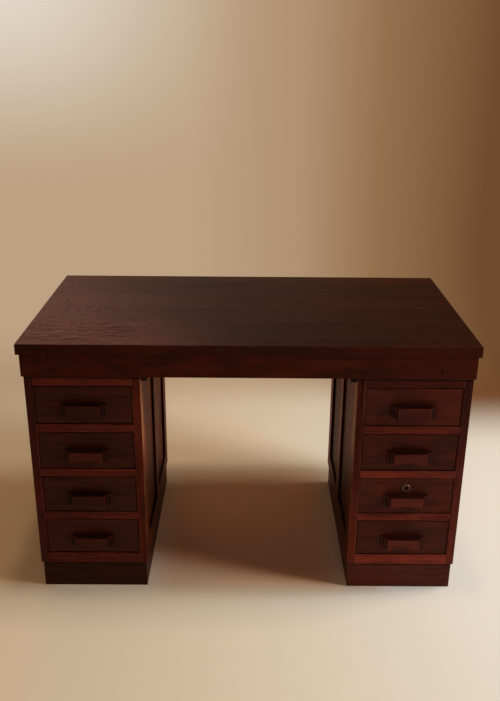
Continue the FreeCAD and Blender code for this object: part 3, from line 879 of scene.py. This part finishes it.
def solids_of(thing: bpy.types.Object, weld: float = 1e-5) -> list[tuple[np.ndarray, np.ndarray]]:
    """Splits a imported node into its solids, which lie one after another in its mesh.

    Two triangles of one solid walk their shared edge in opposite directions. So each edge has a number of
    its own, counted up one way and down the other, and the running total is zero where a solid ends.

    Args:
        thing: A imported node's object.
        weld: The grid on which points count as the same one, in metres.

    Returns:
        For each solid, its welded points and the three point numbers of each triangle that has an area.
    """
    points, triangles = mesh_arrays(thing)
    spots, spot_of = np.unique(np.round(points / weld).astype(np.int64), axis=0, return_inverse=True)
    welded = spot_of.reshape(-1)[triangles]
    welded = welded[(welded != np.roll(welded, 1, axis=1)).all(1)]
    start, end = welded.ravel(), np.roll(welded, -1, axis=1).ravel()
    pairs = np.stack([np.minimum(start, end), np.maximum(start, end)], 1)
    edges, number = np.unique(pairs, axis=0, return_inverse=True)
    label = np.random.default_rng(SEED).integers(1, 2 ** 40, len(edges))
    walked = np.sign(end - start) * label[number.reshape(-1)]
    ends = np.flatnonzero(np.cumsum(walked.reshape(-1, 3).sum(1)) == 0) + 1
    solids = []
    for group in np.split(welded, ends[:-1]):
        used, local = np.unique(group, return_inverse=True)
        solids.append((spots[used] * weld, local.reshape(-1, 3)))
    return solids


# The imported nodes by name. main fills this in once the frame is loaded.
packed: dict[str, bpy.types.Object] = {}


@cache
def finish_of(finish: Wood | Metal, grain: Grain | None = None) -> bpy.types.Material:
    """The material of a finish, made once for each way that the grain runs."""
    return finish.material() if grain is None else finish.material(grain)


def new_piece(name: str, mesh: bpy.types.Mesh, body: str, slot: str) -> bpy.types.Object:
    """Puts a mesh on the desk as a piece of its own.

    Args:
        name: The piece's name.
        mesh: Its mesh, in the desk's frame.
        body: The body that it moves with.
        slot: The record's slot; not used.

    Returns:
        The piece.
    """
    piece = bpy.data.objects.new(name, mesh)
    bpy.context.scene.collection.objects.link(piece)
    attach(piece, body)
    return piece


@dataclass
class Kept:
    """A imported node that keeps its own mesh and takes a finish."""

    node: str
    finish: Wood | Metal
    grain: Grain | None = None

    def build(self, dice: np.random.Generator) -> bpy.types.Object:
        """Dresses the node.

        Args:
            dice: The pieces' source of chance, from which this one draws nothing.

        Returns:
            The node's object.
        """
        materials = packed[self.node].data.materials
        materials.clear()
        materials.append(finish_of(self.finish, self.grain))
        return packed[self.node]


@dataclass
class Boards:
    """A wooden node drawn again as its separate boards, each with eased edges and its own run of grain.

    The tones say how light the boards are, from the top down. Without them each board draws its own.
    """

    node: str
    body: str
    wood: Wood
    easing: float = 0.0009
    tones: tuple[float, ...] = ()
    flat_angle: float = 0.5
    sharp_angle: float = 30.0
    level_look: float = 0.999
    sunk_by: float = 0.003
    tree_ranges: tuple[tuple[float, float], ...] = ((0, 9), (-0.05, 0.05), (0.02, 0.12))

    def build(self, dice: np.random.Generator) -> bpy.types.Object:
        """Makes the piece that stands for the node.

        Args:
            dice: The source of each board's own tone and place in the tree.

        Returns:
            The piece.
        """
        mesh = bpy.data.meshes.new(f"{self.node}_boards")
        whole = bmesh.new()
        layers = [whole.verts.layers.float_vector.new("board"), whole.verts.layers.float.new("tone"),
                  whole.faces.layers.float.new("arris"), whole.faces.layers.float.new("sunk")]
        boards = sorted(solids_of(packed[self.node]), key=lambda board: -board[0][:, 2].mean().round(3))
        for number, (points, triangles) in enumerate(boards):
            tone = self.tones[number % len(self.tones)] if self.tones else dice.uniform()
            self._add_board(whole, layers, points, triangles, tone, dice)
        self._mark_sunk(whole, layers[3])
        whole.to_mesh(mesh)
        whole.free()
        mesh.materials.append(finish_of(self.wood, Grain.OWN))
        made = new_piece(f"{self.node}_dressed", mesh, self.body, self.wood.slot)
        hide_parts(self.node)
        return made

    def _add_board(self, whole: bmesh.types.BMesh, layers: list, points: np.ndarray, triangles: np.ndarray,
                   tone: float, dice: np.random.Generator) -> None:
        """Adds one board: flat faces made whole, edges eased, then its grain written on its points.

        A point's place in the board is its place on the desk less the board's middle, with the axes in the
        order of the board's length, width and thickness, moved to where the board lay in its tree.

        Args:
            whole: The mesh that takes the board.
            layers: Its layers for the board's coordinates, its tone and its eased and sunk faces.
            points: The board's points.
            triangles: The board's triangles.
            tone: How light it is, 0 to 1.
            dice: The source of its place in the tree.
        """
        board = bmesh.new()
        verts = [board.verts.new(point) for point in points]
        for triangle in triangles:
            board.faces.new([verts[number] for number in triangle])
        board.normal_update()
        flat, sharp = math.radians(self.flat_angle), math.radians(self.sharp_angle)
        bmesh.ops.dissolve_limit(board, angle_limit=flat, verts=board.verts, edges=board.edges)
        corners = [edge for edge in board.edges if edge.is_manifold and edge.calc_face_angle() > sharp]
        if self.easing:
            bmesh.ops.bevel(board, geom=corners, offset=self.easing, offset_type="OFFSET", segments=2,
                            profile=0.5, affect="EDGES", clamp_overlap=True)
            board.normal_update()

        low, high = points.min(0), points.max(0)
        order = np.argsort(low - high, kind="stable")
        shift = np.array([dice.uniform(*ends) for ends in self.tree_ranges])
        middle = (low + high) / 2
        offset = len(whole.verts)
        for vert in board.verts:
            copy = whole.verts.new(vert.co)
            copy[layers[0]] = (np.array(vert.co) - middle)[order] + shift
            copy[layers[1]] = tone
        whole.verts.ensure_lookup_table()
        board.verts.index_update()
        for face in board.faces:
            copy = whole.faces.new([whole.verts[offset + vert.index] for vert in face.verts])
            copy[layers[2]] = float(max(abs(value) for value in face.normal) < self.level_look)
        board.free()

    def _mark_sunk(self, whole: bmesh.types.BMesh, layer: bmesh.types.BMLayerItem) -> None:
        """Marks the faces that lie behind the node's outermost face on the side that they look to.

        Args:
            whole: The node's boards.
            layer: The layer that takes the mark.
        """
        low, high = (np.array(corner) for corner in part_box(self.node))
        whole.normal_update()
        normals = np.array([face.normal for face in whole.faces])
        centres = np.array([face.calc_center_median() for face in whole.faces])
        axis = np.abs(normals).argmax(1)
        rows = np.arange(len(axis))
        outermost = np.where(normals[rows, axis] > 0, high[axis], low[axis])
        behind = np.abs(outermost - centres[rows, axis]) > self.sunk_by
        for face, mark in zip(whole.faces, behind):
            face[layer] = float(mark)


@dataclass
class RoundHeads:
    """Slotted round screw heads on a face that looks along Y, as one piece.

    A head is a grid of rows across its slot. On each row the points spread over the disc's width there,
    and they stand as high as a ball's cap, but the two middle rows drop to the slot's floor.
    """

    name: str
    body: str
    finish: Metal
    places: list[Place]
    radius: float = 0.0034
    height: float = 0.0018
    slot_width: float = 0.0009
    slot_depth: float = 0.0010
    outward: int = 1
    outer_rows: int = 5
    columns: int = 11

    def build(self, dice: np.random.Generator) -> bpy.types.Object:
        """Makes the heads, each with its slot turned its own way.

        Args:
            dice: The source of the slots' angles.

        Returns:
            The piece.
        """
        half = self.slot_width / 2
        outer = self.radius * np.sin(np.linspace(0.12, 0.5, self.outer_rows) * math.pi)
        rows = np.concatenate([-outer[::-1], [-half, -half, half, half], outer])
        sunk = np.zeros(len(rows), bool)
        sunk[len(outer) + 1:len(outer) + 3] = True
        spread = np.sin(np.linspace(-0.5, 0.5, self.columns) * math.pi)
        width = np.sqrt(np.clip(self.radius ** 2 - rows ** 2, 0, None))
        across, along = width[:, None] * spread, np.repeat(rows[:, None], self.columns, 1)
        share = np.clip(1 - (across ** 2 + along ** 2) / self.radius ** 2, 0, 1)
        rise = self.height * np.sqrt(share)
        rise[sunk] = np.minimum(rise[sunk], self.height - self.slot_depth)
        number = np.arange(across.size).reshape(across.shape)
        corners = [number[:-1, :-1], number[:-1, 1:], number[1:, 1:], number[1:, :-1]]
        faces = np.stack(corners, -1).reshape(-1, 4)
        points, quads = [], []
        for index, place in enumerate(self.places):
            turn = dice.uniform(0, math.pi)
            x = across * math.cos(turn) - along * math.sin(turn)
            z = across * math.sin(turn) + along * math.cos(turn)
            cap = np.stack([x, rise * self.outward, z], -1).reshape(-1, 3) + np.array(place)
            points.append(cap)
            quads.append(faces + index * across.size)
        return self._piece(np.concatenate(points), np.concatenate(quads))

    def _piece(self, points: np.ndarray, quads: np.ndarray) -> bpy.types.Object:
        """Puts the caps into a mesh, welds their rims, closes them underneath and turns them outwards.

        Args:
            points: The places of their points.
            quads: The four point numbers of each face.

        Returns:
            The piece.
        """
        mesh = bpy.data.meshes.new(self.name)
        mesh.from_pydata(points.tolist(), [], quads.tolist())
        shell = bmesh.new()
        shell.from_mesh(mesh)
        bmesh.ops.remove_doubles(shell, verts=shell.verts, dist=1e-6)
        bmesh.ops.dissolve_degenerate(shell, dist=1e-7, edges=shell.edges)
        bmesh.ops.holes_fill(shell, edges=[edge for edge in shell.edges if edge.is_boundary])
        bmesh.ops.recalc_face_normals(shell, faces=shell.faces)
        shell.to_mesh(mesh)
        shell.free()
        mesh.materials.append(finish_of(self.finish))
        return new_piece(self.name, mesh, self.body, self.finish.slot)


Piece = Kept | Boards | RoundHeads


@dataclass
class TopUnit:
    """The slab, its mitred frieze, and the bearers, blocks and screws under it."""

    body: str = "carcass"
    easing: float = 0.0012

    def pieces(self) -> list[Piece]:
        """The unit's pieces, in the order of their making. The slab's own edge is eased in its node.

        Returns:
            The pieces.
        """
        friezes = [Boards(node, self.body, FRIEZE, self.easing, (EVEN_TONE,))
                   for node in ("front_frieze", "rear_frieze", "side_friezes")]
        return [Boards("desk_top", self.body, TOP, 0.0, (EVEN_TONE,)), *friezes,
                Boards("locating_blocks", self.body, BLOCK, self.easing),
                Kept("cross_bearers", INSIDE, Grain.ALONG_Y), Kept("fixing_screws", STEEL)]


@dataclass
class Pedestal:
    """One pedestal: framed and panelled sides, front rails, runners, back and plinth."""

    side: str
    body: str = "carcass"
    easing: float = 0.0011

    def pieces(self) -> list[Piece]:
        """The pedestal's pieces, in the order of their making.

        Returns:
            The pieces.
        """
        finishes = {"left": (SIDE, INNER, PANEL), "right": (SIDE_RIGHT, INNER_RIGHT, PANEL_RIGHT)}
        outer, inner, panel = finishes[self.side]
        sides = []
        for place, wood, filling in (("outer", outer, SIDE_PANEL), ("inner", inner, panel)):
            sides.append(Boards(f"{self.side}_{place}_frame", self.body, wood, self.easing))
            sides.append(Kept(f"{self.side}_{place}_panels", filling, Grain.ALONG_Z))
        rail_light_tones, plinth_tones = RAIL_LIGHT_TONES[self.side], (PLINTH_TONES[self.side],)
        return [*sides,
                Boards(f"{self.side}_front_rails", self.body, RAIL, self.easing, rail_light_tones),
                Boards(f"{self.side}_plinth", self.body, PLINTH, self.easing, plinth_tones),
                Kept(f"{self.side}_back_panel", SIDE_PANEL, Grain.ALONG_Z),
                Kept(f"{self.side}_drawer_runners", INSIDE, Grain.ALONG_Y)]


@dataclass
class Drawer:
    """One drawer: its stained front and pull, and its bare box and bottom."""

    side: str
    number: int
    easing: float = 0.0008
    front_easing: float = 0.0018
    screw_aside: float = 0.038

    def pieces(self) -> list[Piece]:
        """The drawer's pieces, in the order of their making.

        Returns:
            The pieces.
        """
        name = f"{self.side}_drawer_{self.number}"
        row = DRAWERS.index(self.number)
        front_tone, pull_tone = FRONT_TONES[self.side][row], PULL_TONES[self.side][row]
        low, high = (np.array(corner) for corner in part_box(f"{name}_pull"))
        inner_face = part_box(f"{name}_front")[1][1]
        middle = (low + high) / 2
        places = [(middle[0] + way * self.screw_aside, inner_face, middle[2]) for way in (-1, 1)]
        return [Boards(f"{name}_front", name, FRONT, self.front_easing, (front_tone,)),
                Boards(f"{name}_pull", name, PULL, self.easing, (pull_tone,)),
                Boards(f"{name}_box", name, BARE, self.easing),
                Kept(f"{name}_bottom", BARE, Grain.ALONG_Y),
                RoundHeads(f"{name}_pull_screws", name, STEEL, places)]


@dataclass
class Lock:
    """The lock of one drawer: key plate, case, bolt and their small screws and pins."""

    body: str = LOCKED_DRAWER
    case_inset: float = 0.0055
    pin_aside: float = 0.0086

    def pieces(self) -> list[Piece]:
        """The lock's pieces, in the order of their making.

        Returns:
            The pieces.
        """
        low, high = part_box("lock_case")
        corners = [(x, high[1], z) for x in (low[0] + self.case_inset, high[0] - self.case_inset)
                   for z in (low[2] + self.case_inset, high[2] - self.case_inset)]
        screws = RoundHeads("lock_case_screws", self.body, STEEL, corners, radius=0.0026, height=0.0013,
                            slot_width=0.0007, slot_depth=0.0007)
        low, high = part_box("lock_escutcheon")
        middle = ((low[0] + high[0]) / 2, low[1], (low[2] + high[2]) / 2)
        ends = [(middle[0] + way * self.pin_aside, middle[1], middle[2]) for way in (-1, 1)]
        pins = RoundHeads("lock_escutcheon_pins", self.body, OLD_BRASS, ends, radius=0.0011, height=0.0004,
                          slot_width=0.0003, slot_depth=0.0001, outward=-1)
        return [Kept("lock_escutcheon", KEY_PLATE), Kept("lock_case", IRON), Kept("lock_bolt", OLD_BRASS),
                screws, pins]


@dataclass
class Insides:
    """The boards on top of the two pedestals, and the stops of all the drawers."""

    def pieces(self) -> list[Piece]:
        """The two pieces."""
        return [Kept("pedestal_top_boards", INSIDE, Grain.ALONG_Y),
                Kept("drawer_stops", INSIDE, Grain.ALONG_X)]


@dataclass(frozen=True)
class Lamp:
    """One square lamp, by its side in metres, its power in watts, its beam in degrees and its target."""

    name: str
    place: Place
    size: float
    power: float
    colour: Colour
    spread: float = 180.0
    target: Place = (0.0, 0.0, 0.4)

    def build(self) -> None:
        """Hangs the lamp and aims it."""
        light = bpy.data.lights.new(self.name, "AREA")
        light.shape = "SQUARE"
        light.size = self.size
        light.energy = self.power
        light.color = self.colour
        light.spread = math.radians(self.spread)
        lamp = bpy.data.objects.new(self.name, light)
        lamp.location = self.place
        aim = Vector(self.target) - Vector(self.place)
        lamp.rotation_euler = aim.to_track_quat("-Z", "Y").to_euler()
        lamp.visible_camera = False
        bpy.context.scene.collection.objects.link(lamp)


# Three soft windows at the right, a lamp overhead, two weak fills, and the glow on the top from behind.
LAMPS = (
    Lamp("warm_window", (3.95, -1.17, 2.58), 1.1, 87.4, (1.0, 0.63, 0.385)),
    Lamp("cool_window", (2.16, -0.48, 2.23), 0.8, 31.6, (0.506, 0.883, 1.0)),
    Lamp("high_window", (3.10, 0.27, 5.0), 1.1, 98.0, (1.0, 0.82, 0.59)),
    Lamp("overhead", (0.04, -0.10, 6.1), 0.5, 34.0, (1.0, 0.62, 0.30)),
    Lamp("front_fill", (0.28, -3.16, 1.17), 1.0, 11.0, (1.0, 0.55, 0.40)),
    Lamp("left_fill", (-3.09, -0.62, 1.96), 0.5, 12.0, (1.0, 0.62, 0.25)),
    Lamp("sheen", (-0.84, 1.85, 1.68), 1.0, 0.68, (1.0, 0.35, 0.21), 40.0, (-0.36, -0.28, 0.78)),
)

# The backdrop's colours. The floor's and the wall's run from left to right, over the width below.
RAMP_WIDTH = 3.2
# The wall's ramp and pool of light, the floor's tints, its shade and the kneehole's colour are painted light
# and shade.
FLOOR = {0.30: tint(234, 225, 212), 0.5: tint(238, 232, 222), 0.70: tint(235, 235, 235)}
WALL = {0.40: tint(189, 161, 131), 0.58: tint(176, 145, 114), 0.71: tint(149, 113, 78),
        0.89: tint(112, 76, 46)}
FLOOR_SHADE = tint(120, 82, 50)
KNEEHOLE_SHADE = tint(236, 208, 183)
WALL_LIGHT_POOL = tint(228, 217, 201)
ROOM_PALE = tint(206, 186, 160)
ROOM_LIGHT = (1.0, 0.62, 0.36)


@dataclass
class Studio:
    """A pale floor that sweeps up into a backdrop, soft lamps, and the camera at the photograph's angle."""

    floor_front: float = -6.0
    floor_back: float = 1.25
    sweep_radius: float = 0.7
    sweep_points: int = 17
    wall_height: float = 5.0
    half_width: float = 6.0
    room_strength: float = 0.01
    room_in_gloss: float = 0.3
    camera_place: Place = (-0.0073, -2.3371, 1.5334)
    camera_pitch: float = 21.015
    camera_yaw: float = -0.273
    camera_roll: float = 0.494
    camera_lens: float = 41.517
    camera_sensor: float = 36.0

    def build(self) -> None:
        """Makes the backdrop, the lamps, the room beyond and the camera."""
        self._backdrop()
        for lamp in LAMPS:
            lamp.build()
        self._room()
        self._camera()

    def _backdrop(self) -> None:
        """Floor, quarter-round sweep and wall: one profile carried across the room."""
        turn = np.linspace(0, math.pi / 2, self.sweep_points)
        sweep = [self.floor_back + self.sweep_radius * np.sin(turn), self.sweep_radius * (1 - np.cos(turn))]
        wall_top = [self.floor_back + self.sweep_radius, self.wall_height]
        profile = np.concatenate([[[self.floor_front, 0.0]], np.stack(sweep, 1), [wall_top]])
        grid = np.empty((len(profile), 2, 3))
        grid[..., 0] = np.array([-self.half_width, self.half_width])
        grid[..., 1:] = profile[:, None, :]
        number = np.arange(len(profile) * 2).reshape(-1, 2)
        faces = np.stack([number[:-1, 0], number[:-1, 1], number[1:, 1], number[1:, 0]], 1)
        mesh = bpy.data.meshes.new("backdrop")
        mesh.from_pydata(grid.reshape(-1, 3).tolist(), [], faces.tolist())
        mesh.polygons.foreach_set("use_smooth", [True] * len(faces))
        mesh.materials.append(self._paper())
        backdrop = bpy.data.objects.new("backdrop", mesh)
        bpy.context.scene.collection.objects.link(backdrop)

    @staticmethod
    def _paper() -> bpy.types.Material:
        """The backdrop's paper: a lit floor near the desk with painted shade, and a wall that shows its own
        colour, with painted light.

        The wall is brown at the right and pale at the upper left, and so is what lies outside the
        photograph's frame. Seen from behind, the paper is clear.

        Returns:
            The material.
        """
        graph = Graph(bpy.data.materials.new("backdrop_paper"))
        across, along, up = graph.split(graph.desk_place())
        side = across / RAMP_WIDTH + 0.5
        # The floor's tints paint the lamps' colour across it, warmer at the left.
        floor = graph.ramp(side, FLOOR)
        # Painted shadow on the floor at the back right.
        floor = graph.blend(along.within(0.55, 1.15) * across.within(0.3, 1.0), floor, FLOOR_SHADE)
        # Painted shade on the floor under the desk.
        kneehole = abs(across).until(0.20, 0.34) * along.within(-0.40, -0.28) * along.until(0.26, 0.46)
        floor = graph.blend(kneehole, floor, KNEEHOLE_SHADE)
        # Painted pool of light on the upper left of the wall; the wall's ramp paints the light falling off
        # to the right.
        glow = up.within(0.75, 1.9) * across.until(-1.25, 0.15)
        wall = graph.blend(glow, graph.ramp(side, WALL), WALL_LIGHT_POOL)
        near = abs(across).until(1.45, 3.2) * along.within(-4.0, -1.8)
        wall = graph.blend(1.0 - near, wall, ROOM_PALE)
        upright = along.within(0.9, 1.7)
        paper = graph.node("ShaderNodeBsdfDiffuse", {}, {"Color": graph.blend(upright, floor, wall)})
        light = graph.node("ShaderNodeEmission", {}, {"Color": wall, "Strength": 1.0})
        seen = (graph.ray("Camera") + graph.ray("Glossy") + graph.ray("Transmission")).clamped()
        seen = seen * (1.0 - near * (1.0 - upright))
        surface = graph.node("ShaderNodeMixShader", {}, {0: seen, 1: paper, 2: light})
        clear = graph.node("ShaderNodeBsdfTransparent", {}, {})
        behind = graph.node("ShaderNodeNewGeometry", {}, {}, "Backfacing")
        return graph.finished(graph.node("ShaderNodeMixShader", {}, {0: behind, 1: surface, 2: clear}))

    def _room(self) -> None:
        """The room beyond the backdrop: it gives hardly any light, and looks pale where it is seen."""
        graph = Graph(bpy.data.worlds.new("room"))
        dim = {"Color": (*ROOM_LIGHT, 1.0), "Strength": self.room_strength}
        pale = {"Color": (*ROOM_PALE, 1.0), "Strength": 1.0}
        lit, shown = (graph.node("ShaderNodeBackground", {}, sockets) for sockets in (dim, pale))
        seen = graph.ray("Glossy") * self.room_in_gloss + graph.ray("Camera")
        both = graph.node("ShaderNodeMixShader", {}, {0: seen, 1: lit, 2: shown})
        bpy.context.scene.world = graph.finished(both)

    def _camera(self) -> None:
        """The camera: turned by yaw, tilted down by pitch and then rolled about its own line of sight."""
        camera = bpy.data.cameras.new("camera")
        camera.lens = self.camera_lens
        camera.sensor_width = self.camera_sensor
        seen = bpy.data.objects.new("camera", camera)
        turn = (Matrix.Rotation(math.radians(self.camera_yaw), 4, "Z")
                @ Matrix.Rotation(math.radians(90 - self.camera_pitch), 4, "X")
                @ Matrix.Rotation(math.radians(self.camera_roll), 4, "Z"))
        seen.matrix_world = Matrix.Translation(self.camera_place) @ turn
        bpy.context.scene.collection.objects.link(seen)
        bpy.context.scene.camera = seen


def main() -> None:
    logging.basicConfig(level=logging.INFO, format="%(name)s: %(message)s")
    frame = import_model()
    packed.update(frame["nodes"])
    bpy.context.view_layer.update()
    dice = np.random.default_rng(SEED)
    pedestals = [Pedestal(side) for side in SIDES]
    drawers = [Drawer(side, number) for side in SIDES for number in DRAWERS]
    for unit in (TopUnit(), *pedestals, *drawers, Lock(), Insides()):
        for piece in unit.pieces():
            log.info("%s: %s", type(unit).__name__, piece.build(dice).name)
    Studio().build()
    log.info("Studio: backdrop, %d lamps and camera", len(LAMPS))
    bpy.context.scene.view_settings.view_transform = "Standard"


if __name__ == "__main__":
    main()
